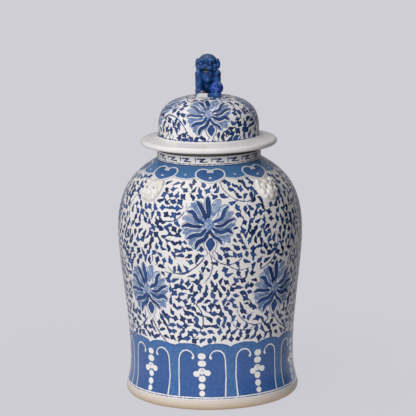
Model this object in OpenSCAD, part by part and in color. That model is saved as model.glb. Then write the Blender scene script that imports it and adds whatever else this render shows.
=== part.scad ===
// Covered porcelain jar with a flanged, domed lid and a seated lion finial.
// The jar stands on the XY plane, its axis is +Z, and its front faces -Y.

/* [Jar] */
// Largest radius of the flared foot
foot_r = 152; // [149:1:155]
// Radius of the flat ring that the jar stands on
stand_r = 142; // [139:1:145]
// Height at which the foot is widest
foot_z = 12; // [10:1:15]
// Radius of the waist above the foot
waist_r = 144; // [141:0.5:147]
// Height of the waist
waist_z = 72; // [68:1:78]
// Largest radius of the belly
belly_r = 161.5; // [158:0.5:165]
// Height of the belly
belly_z = 292; // [286:1:298]
// Radius of the shoulder where it meets the neck
shoulder_r = 92; // [91:0.5:93]
// Height at which the shoulder meets the neck
shoulder_z = 417; // [414:1:420]
// Thickness of the thrown wall
wall = 8; // [6:0.5:10]

/* [Neck] */
// Outer radius of the neck
neck_r = 90.5; // [89:0.5:91]
// Thickness of the neck wall
neck_wall = 7; // [6:0.5:8]
// Height of the neck rim above the table
rim_z = 441.8; // [440:0.2:441.8]

/* [Lid] */
// Outer radius of the lid flange
flange_r = 119; // [116:1:124]
// Thickness of the flange at its rounded rim
flange_t = 10; // [8:1:11]
// Height of the flange's underside
seat_z = 442; // [442:0.2:443]
// Outer radius of the dome
dome_r = 88; // [87.5:0.5:90]
// Height of the dome's crown
crown_z = 527; // [525:1:529]
// Thickness of the dome wall
dome_wall = 6; // [5:0.5:7]
// Outer radius of the locating ring inside the neck
ring_r = 81; // [79:0.5:82]
// Thickness of the locating ring
ring_wall = 5; // [4:0.5:5]
// Depth of the locating ring below the flange
ring_drop = 18; // [14:1:20]

/* [Lion masks] */
// Place of the masks along the shoulder's curve, from the belly at 0 to the neck at 1
mask_t = 0.52; // [0.5:0.005:0.54]
// Width of a mask
mask_w = 44; // [40:1:46]
// How far a mask's face stands out of the shoulder
mask_relief = 9; // [7:1:10]

/* [Finial] */
// Width of the plinth under the lion
plinth_w = 45; // [43:1:47]
// Depth of the plinth from front to back
plinth_d = 48; // [46:1:50]
// Height of the plinth's top
plinth_z = 534; // [533:1:536]
// Height of the top of the lion's head, which is the overall height
top_z = 600; // [599:1:602]

/* [Hidden] */
$fn = 96;
CURVE_STEPS = 14;
floor_z = 20;
recess_z = 9;
recess_r = 121;
neck_bore_r = neck_r - neck_wall;
ring_bore_r = ring_r - ring_wall;
flange_bore_r = ring_bore_r - 2;
rim_r = flange_t / 2;
dome_base_z = seat_z + 22;
joint_t = 0.7;
MASK_ANGLES = [-135, -45, 45, 135];
MASK_NAMES = ["front_left", "front_right", "back_right", "back_left"];

// Point at t on the cubic curve with the four control points c.
function curve_point(c, t) =
    pow(1 - t, 3) * c[0] + 3 * pow(1 - t, 2) * t * c[1]
    + 3 * (1 - t) * t * t * c[2] + pow(t, 3) * c[3];

// Direction of that curve at t.
function curve_dir(c, t) =
    pow(1 - t, 2) * (c[1] - c[0]) + 2 * (1 - t) * t * (c[2] - c[1])
    + t * t * (c[3] - c[2]);

// Points from t = from to t = to.
function curve(c, from = 0, to = 1) =
    [for (i = [0 : CURVE_STEPS]) curve_point(c, from + (to - from) * i / CURVE_STEPS)];

// The same points moved inward, square to the wall, by the distance w.
function inner_curve(c, w, from = 0, to = 1) =
    [for (i = [0 : CURVE_STEPS])
        let (t = from + (to - from) * i / CURVE_STEPS,
             d = curve_dir(c, t))
        curve_point(c, t) - w * [d[1], -d[0]] / norm(d)];

function reversed(points) = [for (i = [len(points) - 1 : -1 : 0]) points[i]];

// Outline of the wall, as [radius, height]: foot bevel, flare, wall and shoulder.
FOOT_BEVEL = [[stand_r, 0], [stand_r + 7, 1], [foot_r, foot_z / 2], [foot_r, foot_z]];
FLARE = [[foot_r, foot_z], [foot_r - 5.5, foot_z + 25], [waist_r, waist_z - 31], [waist_r, waist_z]];
WALL = [[waist_r, waist_z], [waist_r, waist_z + 78], [belly_r, belly_z - 59], [belly_r, belly_z]];
SHOULDER = [[belly_r, belly_z], [belly_r, belly_z + 82],
            [shoulder_r + 33, shoulder_z - 20], [shoulder_r, shoulder_z]];
joint = curve_point(WALL, joint_t);

// Outline of the dome, from above the flange to the crown, outside and inside.
DOME = [[dome_r, dome_base_z], [dome_r, dome_base_z + 33],
        [dome_r - 4, crown_z], [0, crown_z]];
dome_in_r = dome_r - dome_wall;
DOME_INSIDE = [[dome_in_r, dome_base_z], [dome_in_r, dome_base_z + 33],
               [dome_in_r - 4, crown_z - dome_wall], [0, crown_z - dome_wall]];

// Lower half of the vessel, thrown with its floor, foot ring and wall.
module lower_section() {
    color("#4a68a6")
        rotate_extrude()
            polygon(concat(
                curve(FOOT_BEVEL), curve(FLARE), curve(WALL, 0, joint_t),
                [[joint[0] - wall, joint[1]]],
                reversed([for (p = curve(WALL, 0, joint_t)) p - [wall, 0]]),
                [[waist_r - wall - 2, floor_z + 8], [waist_r - wall - 10, floor_z],
                 [0, floor_z], [0, recess_z], [recess_r, recess_z], [recess_r + 3, 0]]));
}

// Upper half: belly and shoulder, luted to the lower half.
module upper_section() {
    color("#6d86b5")
        rotate_extrude()
            polygon(concat(
                curve(WALL, joint_t, 1), curve(SHOULDER),
                [[neck_bore_r, shoulder_z], [neck_bore_r, shoulder_z - 4]],
                reversed(inner_curve(SHOULDER, wall)),
                reversed([for (p = curve(WALL, joint_t, 1)) p - [wall, 0]])));
}

// Straight neck with a flat rim that the lid rests on.
module neck_collar() {
    color("#e8e3da")
        rotate_extrude()
            polygon([
                [neck_bore_r, shoulder_z], [shoulder_r, shoulder_z], [neck_r + 0.5, shoulder_z + 3],
                [neck_r, shoulder_z + 7], [neck_r, rim_z - 2], [neck_r - 0.6, rim_z - 0.6],
                [neck_r - 2, rim_z], [neck_bore_r + 1.5, rim_z], [neck_bore_r, rim_z - 1.5]]);
}

// Solid of the shoulder's outer form, used to seat the masks on it.
module shoulder_form() {
    rotate_extrude()
        polygon(concat([[0, belly_z]], curve(SHOULDER), [[0, shoulder_z]]));
}

// One applied lion face in relief: forehead, brows, cheeks, snout and ears.
module lion_mask(angle) {
    seat = curve_point(SHOULDER, mask_t);
    slope = curve_dir(SHOULDER, mask_t);
    lean = atan2(-slope[0], slope[1]);
    half = mask_w / 2;
    cap_r = (half * half * 0.72 + mask_relief * mask_relief) / (2 * mask_relief);
    color("#efebe4")
        difference() {
            rotate([0, 0, angle])
                translate([seat[0], 0, seat[1]])
                    rotate([0, 90 - lean, 0]) {
                        translate([0, 0, mask_relief - 1 - cap_r])
                            intersection() {
                                sphere(r = cap_r);
                                translate([0, 0, cap_r - mask_relief - 4])
                                    cylinder(r = half * 0.86, h = mask_relief + 6);
                            }
                        translate([9, 0, 2]) sphere(r = 8.5);
                        for (side = [-1, 1]) {
                            translate([7, side * 9, 0]) sphere(r = 7.5);
                            translate([-8, side * 8, 1.5]) sphere(r = 6.5);
                            translate([-13, side * (half - 5.5), -1]) sphere(r = 5.5);
                        }
                    }
            shoulder_form();
        }
}

module lion_mask_front_left() { lion_mask(MASK_ANGLES[0]); }
module lion_mask_front_right() { lion_mask(MASK_ANGLES[1]); }
module lion_mask_back_right() { lion_mask(MASK_ANGLES[2]); }
module lion_mask_back_left() { lion_mask(MASK_ANGLES[3]); }

// Dome and flange of the lid, thrown as one, hollow underneath.
module lid_dome() {
    rim = [flange_r - rim_r, seat_z + rim_r];
    color("#6d86b5")
        rotate_extrude()
            polygon(concat(
                [[flange_bore_r, seat_z]],
                [for (a = [-90 : 15 : 80]) rim + rim_r * [cos(a), sin(a)]],
                [[dome_r + 14, seat_z + 12.2], [dome_r + 6, seat_z + 14],
                 [dome_r + 2, seat_z + 16.5], [dome_r + 0.4, seat_z + 19.5]],
                curve(DOME), reversed(curve(DOME_INSIDE)),
                [[dome_in_r - 1, seat_z + 16], [flange_bore_r, seat_z + 10]]));
}

// Ring under the flange that drops into the neck and keeps the lid central.
module lid_locating_ring() {
    color("#d9cfc0")
        rotate_extrude()
            polygon([
                [ring_bore_r, seat_z], [ring_r, seat_z], [ring_r, seat_z - ring_drop + 2],
                [ring_r - 1.5, seat_z - ring_drop], [ring_bore_r + 1, seat_z - ring_drop],
                [ring_bore_r, seat_z - ring_drop + 1]]);
}

// Solid of the dome's outer form, used to seat the finial on it.
module dome_form() {
    rotate_extrude()
        polygon(concat([[0, dome_base_z]], curve(DOME)));
}

// Rounded block under the lion.
module finial_plinth() {
    round_r = 6;
    color("#24508f")
        difference() {
            translate([0, 0, crown_z - 4])
                linear_extrude(plinth_z - crown_z + 4)
                    union() {
                        square([plinth_w, plinth_d - 2 * round_r], center = true);
                        square([plinth_w - 2 * round_r, plinth_d], center = true);
                        for (x = [-1, 1], y = [-1, 1])
                            translate([x * (plinth_w / 2 - round_r), y * (plinth_d / 2 - round_r)])
                                circle(r = round_r);
                    }
            dome_form();
        }
}

// Torso and haunches of the seated lion.
module body_form() {
    intersection() {
        union() {
            translate([0, 5, plinth_z + 13]) sphere(r = 18);
            translate([0, -2, plinth_z + 26]) sphere(r = 17);
            for (side = [-1, 1])
                translate([side * 10.5, 6, plinth_z + 9]) sphere(r = 12);
        }
        translate([-40, -40, plinth_z]) cube([80, 80, 80]);
    }
}

module lion_body() {
    color("#1f4680") body_form();
}

// Skull, muzzle and jaw.
module head_form() {
    head_r = 17.5;
    translate([0, -3, top_z - head_r]) sphere(r = head_r);
    translate([0, -15, plinth_z + 42]) sphere(r = 9);
    for (side = [-1, 1])
        translate([side * 8, -12, plinth_z + 40]) sphere(r = 7.5);
}

module lion_head() {
    color("#2a5596")
        difference() {
            head_form();
            body_form();
        }
}

// Curled mane behind the head.
module mane_form() {
    translate([0, 19, plinth_z + 44]) rotate([90, 0, 0]) cylinder(r1 = 15, r2 = 18, h = 14);
}

// Round ear at the side of the head, set against the mane.
module ear() {
    color("#1f4680")
        difference() {
            translate([-17, 0, plinth_z + 47]) sphere(r = 5.5);
            head_form();
            mane_form();
        }
}

module lion_left_ear() { ear(); }
module lion_right_ear() { mirror([1, 0, 0]) ear(); }

// Upright foreleg with its paw.
module foreleg_form(side, paw_z) {
    translate([side * 14, -15, paw_z])
        cylinder(r = 6.5, h = 30 + plinth_z - paw_z);
    translate([side * 14, -16.5, paw_z + 3.5])
        intersection() {
            sphere(r = 7.5);
            translate([-10, -10, -3.5]) cube([20, 20, 20]);
        }
}

// Ball under the lion's paw, on the right.
module ball_form() {
    translate([14, -15, plinth_z + 7]) sphere(r = 7.5);
}

module lion_left_foreleg() {
    color("#24508f")
        difference() {
            foreleg_form(-1, plinth_z);
            body_form();
            head_form();
        }
}

module lion_right_foreleg() {
    color("#24508f")
        difference() {
            foreleg_form(1, plinth_z + 11);
            body_form();
            head_form();
            ball_form();
        }
}

module lion_mane() {
    color("#193a70")
        difference() {
            mane_form();
            head_form();
            body_form();
        }
}

// Flame-shaped tail laid up the back.
module lion_tail() {
    color("#1f4680")
        difference() {
            union() {
                translate([0, 19, plinth_z]) cylinder(r1 = 5, r2 = 4, h = 30, $fn = 32);
                translate([0, 19, plinth_z + 24]) sphere(r = 5);
            }
            body_form();
            mane_form();
        }
}

// Bell hanging on the lion's chest from its collar.
module lion_collar_bell() {
    color("#5f8cc0")
        difference() {
            translate([0, -20, plinth_z + 25]) rotate([0, 0, 90]) sphere(r = 4.5);
            body_form();
        }
}

module lion_ball() {
    color("#2446b0")
        difference() {
            intersection() {
                ball_form();
                translate([-40, -40, plinth_z]) cube([80, 80, 80]);
            }
            body_form();
        }
}

lower_section();
upper_section();
neck_collar();
lion_mask_front_left();
lion_mask_front_right();
lion_mask_back_right();
lion_mask_back_left();
lid_dome();
lid_locating_ring();
finial_plinth();
lion_body();
lion_head();
lion_left_ear();
lion_right_ear();
lion_left_foreleg();
lion_right_foreleg();
lion_mane();
lion_tail();
lion_collar_bell();
lion_ball();
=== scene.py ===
# %% [markdown]
# # A covered porcelain jar, painted in cobalt blue
# The real jar is thrown in sections, painted with a brush, dipped in clear glaze and fired. Here the CAD
# model is the fixed frame. Each thrown section is spun again as a finer mesh on the CAD outline, so that
# it can carry the painting, and the hand-modelled lions are built up from rolled lumps, as in clay.

# %% Load the frame
import math
import random

import bpy
import numpy as np
from mathutils import Matrix, Vector


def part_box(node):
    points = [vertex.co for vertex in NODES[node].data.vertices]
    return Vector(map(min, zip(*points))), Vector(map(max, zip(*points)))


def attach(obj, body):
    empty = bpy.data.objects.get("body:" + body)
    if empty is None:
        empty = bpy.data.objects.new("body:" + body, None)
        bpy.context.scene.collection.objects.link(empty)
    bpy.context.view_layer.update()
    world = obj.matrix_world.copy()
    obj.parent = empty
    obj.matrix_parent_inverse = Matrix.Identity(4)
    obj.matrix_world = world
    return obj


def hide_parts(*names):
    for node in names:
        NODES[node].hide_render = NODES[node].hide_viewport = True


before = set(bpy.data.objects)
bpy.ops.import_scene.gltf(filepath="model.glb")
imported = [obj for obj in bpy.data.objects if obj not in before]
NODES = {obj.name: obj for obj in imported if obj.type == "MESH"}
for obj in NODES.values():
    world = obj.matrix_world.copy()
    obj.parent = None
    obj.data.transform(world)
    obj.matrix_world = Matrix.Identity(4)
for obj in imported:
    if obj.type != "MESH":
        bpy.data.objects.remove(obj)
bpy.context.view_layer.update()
MM = 0.001

# %% [markdown]
# ## Colour and node helpers
# Colours are written as sRGB hex, as a colour picker gives them, and turned to the linear values that the
# shader works in. One function adds any node with its settings and links, so a material reads as a recipe.

# %% Helpers for materials


def linear(hex_colour):
    """An sRGB hex colour as linear RGBA."""
    values = [int(hex_colour[i:i + 2], 16) / 255 for i in (1, 3, 5)]
    return [v / 12.92 if v <= 0.04045 else ((v + 0.055) / 1.055) ** 2.4 for v in values] + [1.0]


def add_node(material, kind, inputs=None, stops=(), **settings):
    """Adds a ShaderNode of a kind. An input is a value, a hex colour, an output socket, or a node, which is
    linked from its first output in use. Stops fill a colour ramp with (position, hex colour)."""
    node = material.node_tree.nodes.new("ShaderNode" + kind)
    for name, value in settings.items():
        setattr(node, name, value)
    for key, value in (inputs or {}).items():
        if isinstance(value, bpy.types.Node):
            value = next(socket for socket in value.outputs if socket.enabled)
        if isinstance(value, bpy.types.NodeSocket):
            material.node_tree.links.new(value, node.inputs[key])
        else:
            node.inputs[key].default_value = linear(value) if isinstance(value, str) else value
    if stops:
        while len(node.color_ramp.elements) < len(stops):
            node.color_ramp.elements.new(0.5)
        for element, (position, colour) in zip(node.color_ramp.elements, stops):
            element.position = position
            element.color = linear(colour)
    return node


def new_material(name):
    """An empty node material with its output node."""
    material = bpy.data.materials.new(name)
    material.use_nodes = True
    material.node_tree.nodes.clear()
    return material, add_node(material, "OutputMaterial")


print("helpers for materials ready")

# %% [markdown]
# ## Camera, light and floor
# A tall jar is seen best from a few metres away through a long lens, so its sides stay nearly parallel.
# The camera stands above the lid and looks down a little, and it is not quite level. One large soft light
# at the left front does most of the work, a weak one hangs overhead, and a dark flag on the right keeps the
# shaded side from filling in.

# %% Camera, lights and floor
CAMERA_DISTANCE = 4.1
CAMERA_HEIGHT = 1.137
AIM = Vector((-0.0032, 0, 0.3265))
CAMERA_ROLL = math.radians(0.81)
LENS_MM = 206.1

camera_data = bpy.data.cameras.new("camera")
camera_data.sensor_width = 36
camera_data.lens = LENS_MM
camera_data.clip_start = 0.1
camera_data.clip_end = 60
camera = bpy.data.objects.new("camera", camera_data)
bpy.context.collection.objects.link(camera)
camera.location = (AIM.x, -CAMERA_DISTANCE, CAMERA_HEIGHT)
look = (AIM - camera.location).to_track_quat("-Z", "Y")
camera.rotation_mode = "QUATERNION"
camera.rotation_quaternion = look @ Matrix.Rotation(-CAMERA_ROLL, 3, "Z").to_quaternion()
bpy.context.scene.camera = camera
bpy.context.scene.view_settings.view_transform = "Standard"


def soft_light(name, place, target, size, power, colour):
    """A square softbox at place, turned to target; sizes in metres, power in watts."""
    data = bpy.data.lights.new(name, "AREA")
    data.shape = "RECTANGLE"
    data.size, data.size_y = size
    data.energy = power
    data.color = linear(colour)[:3]
    lamp = bpy.data.objects.new(name, data)
    bpy.context.collection.objects.link(lamp)
    lamp.location = place
    lamp.rotation_euler = (Vector(target) - Vector(place)).to_track_quat("-Z", "Y").to_euler()
    return lamp


MIDDLE = (0, 0, 0.3)
key = soft_light("key softbox", (-1.35, -3.2, 1.7), MIDDLE, (2.0, 2.0), 94, "#fffdfa")
key.visible_glossy = False
soft_light("top softbox", (-0.5, 0.2, 2.8), MIDDLE, (2.4, 1.6), 16, "#ffffff")

BACKDROP = "#cfced4"
AMBIENT = 0.5
world = bpy.data.worlds.new("studio")
bpy.context.scene.world = world
world.use_nodes = True
background = world.node_tree.nodes["Background"]
background.inputs["Color"].default_value = linear(BACKDROP)
seen = add_node(world, "LightPath").outputs["Is Camera Ray"]
strength = add_node(world, "MapRange", {"Value": seen, "To Min": AMBIENT, "To Max": 1.0})
world.node_tree.links.new(strength.outputs[0], background.inputs["Strength"])

bpy.ops.mesh.primitive_circle_add(vertices=96, radius=1.0, fill_type="NGON", location=(0, 0, 0))
floor = bpy.context.object
floor.name = "floor"
paper, paper_out = new_material("seamless paper, matt")
glow = add_node(paper, "Emission", {"Color": BACKDROP, "Strength": 0.91})
matt = add_node(paper, "BsdfDiffuse", {"Color": "#4b4a4d"})
both = add_node(paper, "AddShader", {0: glow, 1: matt})
spot = add_node(paper, "TexCoord").outputs["Object"]
from_axis = add_node(paper, "VectorMath", {0: spot}, operation="LENGTH")
fade = add_node(paper, "MapRange", {"Value": from_axis, "From Min": 0.2, "From Max": 0.7},
                interpolation_type="SMOOTHSTEP")
clear = add_node(paper, "BsdfTransparent")
faded = add_node(paper, "MixShader", {0: fade, 1: both, 2: clear})
paper.node_tree.links.new(faded.outputs[0], paper_out.inputs["Surface"])
floor.data.materials.append(paper)

bpy.ops.mesh.primitive_plane_add(size=1.6, location=(0.8, -0.25, 0.55), rotation=(0, math.radians(90), 0))
flag = bpy.context.object
flag.name = "dark flag on the right"
flag.visible_camera = False
felt, felt_out = new_material("dark brown felt")
cloth = add_node(felt, "BsdfDiffuse", {"Color": "#2e2622"})
felt.node_tree.links.new(cloth.outputs[0], felt_out.inputs["Surface"])
flag.data.materials.append(felt)
print("camera at", [round(v, 3) for v in camera.location], "lens", round(camera_data.lens, 1), "mm")

# %% [markdown]
# ## Reading the outline
# A thrown pot is a surface of revolution, so its whole form is one outline turned round the axis. The CAD
# sections give that outline: every face that looks outward ends on two of its rings. A smooth curve
# through the rings is then cut into short equal steps.

# %% Outlines from the CAD sections


def outer_rings(node, with_top=False):
    """(radius, height) in mm of the outward-facing rings of a CAD section, bottom to top."""
    mesh = NODES[node].data
    rings = {}
    for face in mesh.polygons:
        centre = Vector((face.center.x, face.center.y, 0))
        outward = face.normal.dot(centre.normalized()) if centre.length > 0 else 0
        if outward > 0.03 or (with_top and face.normal.z > 0.5):
            for index in face.vertices:
                point = mesh.vertices[index].co
                level = round(point.z / MM, 2)
                rings[level] = max(rings.get(level, 0), math.hypot(point.x, point.y) / MM)
    return np.array([(rings[level], level) for level in sorted(rings)])


def smooth_through(points, spacing):
    """A smooth curve through the points, cut into equal steps of about spacing, in mm."""
    points = np.asarray(points, float)
    chord = np.concatenate([[0], np.cumsum(np.hypot(*np.diff(points, axis=0).T))])
    slope = np.gradient(points, chord, axis=0)
    fine = np.linspace(0, chord[-1], 4000)
    k = np.clip(np.searchsorted(chord, fine, "right") - 1, 0, len(chord) - 2)
    gap = (chord[k + 1] - chord[k])[:, None]
    t = ((fine - chord[k])[:, None]) / gap
    curve = ((2 * t**3 - 3 * t**2 + 1) * points[k] + (t**3 - 2 * t**2 + t) * gap * slope[k]
             + (3 * t**2 - 2 * t**3) * points[k + 1] + (t**3 - t**2) * gap * slope[k + 1])
    length = np.concatenate([[0], np.cumsum(np.hypot(*np.diff(curve, axis=0).T))])
    steps = max(2, round(length[-1] / spacing))
    even = np.linspace(0, length[-1], steps + 1)
    return np.stack([np.interp(even, length, curve[:, i]) for i in (0, 1)], axis=1)


lower_rings = outer_rings("lower_section")
upper_rings = outer_rings("upper_section")
lid_rings = outer_rings("lid_dome", with_top=True)
widest = int(np.argmax(lid_rings[:, 0]))
wider_than_all_above = [r >= lid_rings[i:, 0].max() for i, r in enumerate(lid_rings[:, 0])]
lid_rings = lid_rings[[i for i in range(len(lid_rings)) if i < widest or wider_than_all_above[i]]]
JOINT_Z = lower_rings[-1][1]
SHOULDER_Z = upper_rings[-1][1]
wall_rings = np.vstack([lower_rings, upper_rings[1:]])
print("rings:", len(lower_rings), len(upper_rings), len(lid_rings), "section joint at", JOINT_Z)

# %% [markdown]
# ## Turning a section
# One vertex is drawn along the outline by extruding it from point to point, which gives the profile that a
# potter's rib would have. Spin could turn it round the axis, but it grows slow past a hundred steps, so a
# Screw modifier with no rise does the same turn at once and is applied.

# %% Turn an outline into a closed piece


def deselect_all():
    """Leaves edit mode and selects nothing."""
    if bpy.context.object and bpy.context.object.mode != "OBJECT":
        bpy.ops.object.mode_set(mode="OBJECT")
    bpy.ops.object.select_all(action="DESELECT")


def draw_outline(name, points):
    """A wire in the XZ plane through the points, which are (radius, height) in mm."""
    deselect_all()
    bpy.ops.mesh.primitive_circle_add(vertices=3, radius=MM, location=(0, 0, 0))
    piece = bpy.context.object
    piece.name = name
    bpy.ops.object.mode_set(mode="EDIT")
    bpy.ops.mesh.select_all(action="SELECT")
    bpy.ops.mesh.merge(type="CENTER")
    start = points[0]
    bpy.ops.transform.translate(value=(start[0] * MM, 0, start[1] * MM))
    for here, there in zip(points, points[1:]):
        move = ((there[0] - here[0]) * MM, 0, (there[1] - here[1]) * MM)
        bpy.ops.mesh.extrude_region_move(TRANSFORM_OT_translate={"value": move})
    return piece


def turn_section(name, points, columns):
    """Turns the outline once round the axis into a closed solid with outward faces."""
    piece = draw_outline(name, points)
    bpy.ops.object.mode_set(mode="OBJECT")
    turn = piece.modifiers.new("turn", "SCREW")
    turn.axis = "Z"
    turn.angle = 2 * math.pi
    turn.steps = turn.render_steps = columns
    turn.use_merge_vertices = True
    turn.merge_threshold = 0.02 * MM
    bpy.ops.object.modifier_apply(modifier=turn.name)
    bpy.ops.object.mode_set(mode="EDIT")
    bpy.ops.mesh.select_all(action="SELECT")
    bpy.ops.mesh.remove_doubles(threshold=0.02 * MM)
    bpy.ops.mesh.normals_make_consistent(inside=False)
    bpy.ops.object.mode_set(mode="OBJECT")
    bpy.ops.object.shade_smooth_by_angle(angle=math.radians(38))
    piece.data.name = name
    print(name, len(piece.data.vertices), "vertices,", len(piece.data.polygons), "faces")
    return piece


# %% [markdown]
# ## The thrown sections
# The wall is 8 mm thick and the floor 11 mm. The outside gets a fine, even grid because it carries the
# painting, and the inside, which is only glazed, gets a coarse one.

# %% Lower section, upper section, neck and lid
WALL = 8
FLOOR_TOP, FLOOR_UNDER = 20, 9
RECESS_R = 121
SECTION_COLUMNS = 600
LID_COLUMNS = 480
NECK_COLUMNS = 900


def radius_at(z):
    """Outer radius of the jar's wall at height z, in mm."""
    return float(np.interp(z, wall_rings[:, 1], wall_rings[:, 0]))


def inner_wall(start, end, step):
    """Points down or up the inside of a nearly upright wall."""
    levels = np.linspace(start, end, max(2, round(abs(end - start) / step) + 1))
    return [(radius_at(z) - WALL, z) for z in levels]


lower_outside = smooth_through(lower_rings, 1.8)
floor_inside = [(0, FLOOR_TOP), (45, FLOOR_TOP), (90, FLOOR_TOP), (124, FLOOR_TOP + 0.5),
                (131, FLOOR_TOP + 3.5), (134.5, FLOOR_TOP + 10)]
underside = [(RECESS_R + 3, 0), (RECESS_R + 0.8, 2), (RECESS_R, FLOOR_UNDER), (80, FLOOR_UNDER),
             (40, FLOOR_UNDER), (0, FLOOR_UNDER)]
lower = turn_section(
    "lower_wall_painted",
    floor_inside + inner_wall(42, JOINT_Z, 12) + list(lower_outside[::-1]) + underside,
    SECTION_COLUMNS)

upper_outside = smooth_through(upper_rings, 1.6)
_, neck_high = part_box("neck_collar")
NECK_BORE = 83.5
tangent = np.gradient(upper_outside, axis=0)
inward = np.stack([-tangent[:, 1], tangent[:, 0]], axis=1)
inward /= np.hypot(*inward.T)[:, None]
upper_inside = (upper_outside + WALL * inward)[8:-8:9]
upper = turn_section(
    "upper_wall_painted",
    list(upper_outside) + [(NECK_BORE, SHOULDER_Z), (NECK_BORE, SHOULDER_Z - 4)]
    + list(upper_inside[::-1]) + [(upper_outside[0][0] - WALL, JOINT_Z), tuple(upper_outside[0])],
    SECTION_COLUMNS)

RIM_Z = neck_high.z / MM
NECK_R = 90.5
neck_outside = smooth_through(
    [(upper_outside[-1][0], SHOULDER_Z), (NECK_R + 0.6, SHOULDER_Z + 2.5), (NECK_R, SHOULDER_Z + 6),
     (NECK_R, SHOULDER_Z + 12), (NECK_R, RIM_Z - 2.5), (NECK_R - 0.6, RIM_Z - 0.6), (NECK_R - 2, RIM_Z)], 0.7)
neck = turn_section(
    "neck_painted",
    list(neck_outside) + [(NECK_BORE + 1.5, RIM_Z), (NECK_BORE + 0.3, RIM_Z - 0.5), (NECK_BORE, RIM_Z - 1.7),
                          (NECK_BORE, SHOULDER_Z + 12), (NECK_BORE, SHOULDER_Z), tuple(neck_outside[0])],
    NECK_COLUMNS)

CROWN_Z = lid_rings[-1][1]
seat_low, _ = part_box("lid_dome")
SEAT_Z = seat_low.z / MM
FLANGE_BORE, DOME_WALL = 74, 6
DOME_IN_R = float(np.interp(SEAT_Z + 30, lid_rings[:, 1], lid_rings[:, 0])) - DOME_WALL - 0.4
lid_outside = smooth_through(
    np.vstack([lid_rings, [(0, CROWN_Z)]]) if lid_rings[-1][0] > 1 else lid_rings, 1.0)
inside_dome = [(0, CROWN_Z - DOME_WALL), (25, CROWN_Z - DOME_WALL - 0.6), (45, CROWN_Z - DOME_WALL - 2.6),
               (58, CROWN_Z - DOME_WALL - 6), (68, CROWN_Z - DOME_WALL - 12), (76, CROWN_Z - DOME_WALL - 21),
               (DOME_IN_R - 2.1, CROWN_Z - DOME_WALL - 32), (DOME_IN_R, CROWN_Z - DOME_WALL - 46),
               (DOME_IN_R, SEAT_Z + 18), (79, SEAT_Z + 13), (FLANGE_BORE, SEAT_Z + 10), (FLANGE_BORE, SEAT_Z)]
lid = turn_section(
    "lid_painted",
    inside_dome + [tuple(lid_rings[0])] + list(lid_outside[1:]), LID_COLUMNS)

# %% [markdown]
# ## The painter's sheet
# Cobalt painting is a set of brush strokes, and a stroke is a run of points with a width at each. The
# sheet below is the jar's surface unrolled: its rows are steps up the outline and its columns are steps
# round. A stroke writes how deep each place lies inside it, in mm, so an edge stays sharp between the
# points of the grid, and a later shader only has to ask whether the number is above zero.

# %% Sheets and strokes
FAR = 30.0
LAYERS = ("cobalt", "wash", "line", "white")


def new_sheet(outline, step):
    """An unrolled surface: radius and height of each row, and one array for each layer of paint."""
    outline = np.asarray(outline)
    along = np.concatenate([[0], np.cumsum(np.hypot(*np.diff(outline, axis=0).T))])
    rows = np.arange(0, along[-1], step)
    columns = int(2 * math.pi * outline[:, 0].max() / step)
    sheet = {"s": rows, "r": np.interp(rows, along, outline[:, 0]),
             "z": np.interp(rows, along, outline[:, 1]), "step": step,
             "columns": columns, "turn": 2 * math.pi / columns}
    sheet["theta"] = np.arange(columns) * sheet["turn"] - math.pi
    for layer in LAYERS:
        sheet[layer] = np.full((len(rows), columns), -FAR, np.float32)
    sheet["tone"] = np.full((len(rows), columns), 0.3, np.float32)
    return sheet


def radius_on(sheet, s):
    """The radius of the surface at rise s."""
    return float(np.interp(s, sheet["s"], sheet["r"]))


def rise_at(sheet, z):
    """How far up the outline the height z lies."""
    return float(np.interp(z, sheet["z"], sheet["s"]))


def block(sheet, low, high, left, right):
    """Row and column indices of a patch, wrapping round the seam, and the patch's angles and rises."""
    first = max(0, int(low / sheet["step"]))
    last = min(len(sheet["s"]), int(high / sheet["step"]) + 2)
    columns = np.arange(math.floor((left + math.pi) / sheet["turn"]),
                        math.ceil((right + math.pi) / sheet["turn"]) + 1)
    angles = columns * sheet["turn"] - math.pi
    return slice(first, last), columns % sheet["columns"], angles[None, :], sheet["s"][first:last, None]


def stroke(sheet, layer, path, widths, tone=None, margin=2.5, tone_in="tone"):
    """Paints a stroke through path, a list of (angle, rise), with the half-widths given, in mm."""
    paint = sheet[layer]
    for (a0, s0), (a1, s1), w0, w1 in zip(path, path[1:], widths, widths[1:]):
        reach = max(w0, w1) + margin
        r = radius_on(sheet, (s0 + s1) / 2)
        rows, columns, angle, rise = block(sheet, min(s0, s1) - reach, max(s0, s1) + reach,
                                           min(a0, a1) - reach / r, max(a0, a1) + reach / r)
        if rows.stop <= rows.start:
            continue
        local_r = sheet["r"][rows][:, None]
        x, y = (angle - a0) * local_r, rise - s0
        dx, dy = (a1 - a0) * local_r, s1 - s0
        t = np.clip((x * dx + y * dy) / (dx * dx + dy * dy + 1e-9), 0, 1)
        depth = (w0 + (w1 - w0) * t) - np.hypot(x - t * dx, y - t * dy)
        old = paint[rows][:, columns]
        deeper = depth > old
        paint[rows.start:rows.stop, columns] = np.where(deeper, depth, old)
        if tone is not None:
            tones = sheet[tone_in][rows][:, columns]
            sheet[tone_in][rows.start:rows.stop, columns] = np.where(deeper, tone, tones)


def placed(sheet, angle, rise, turn=0.0, size=1.0, flip=1):
    """A function that puts a motif's own (x, y) in mm on the sheet, turned, sized and mirrored."""
    c, s = math.cos(turn), math.sin(turn)

    def to_sheet(points):
        moved = []
        for x, y in points:
            u = (flip * x * c - y * s) * size
            v = (flip * x * s + y * c) * size
            moved.append((angle + u / radius_on(sheet, rise + v), rise + v))
        return moved
    return to_sheet


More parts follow.
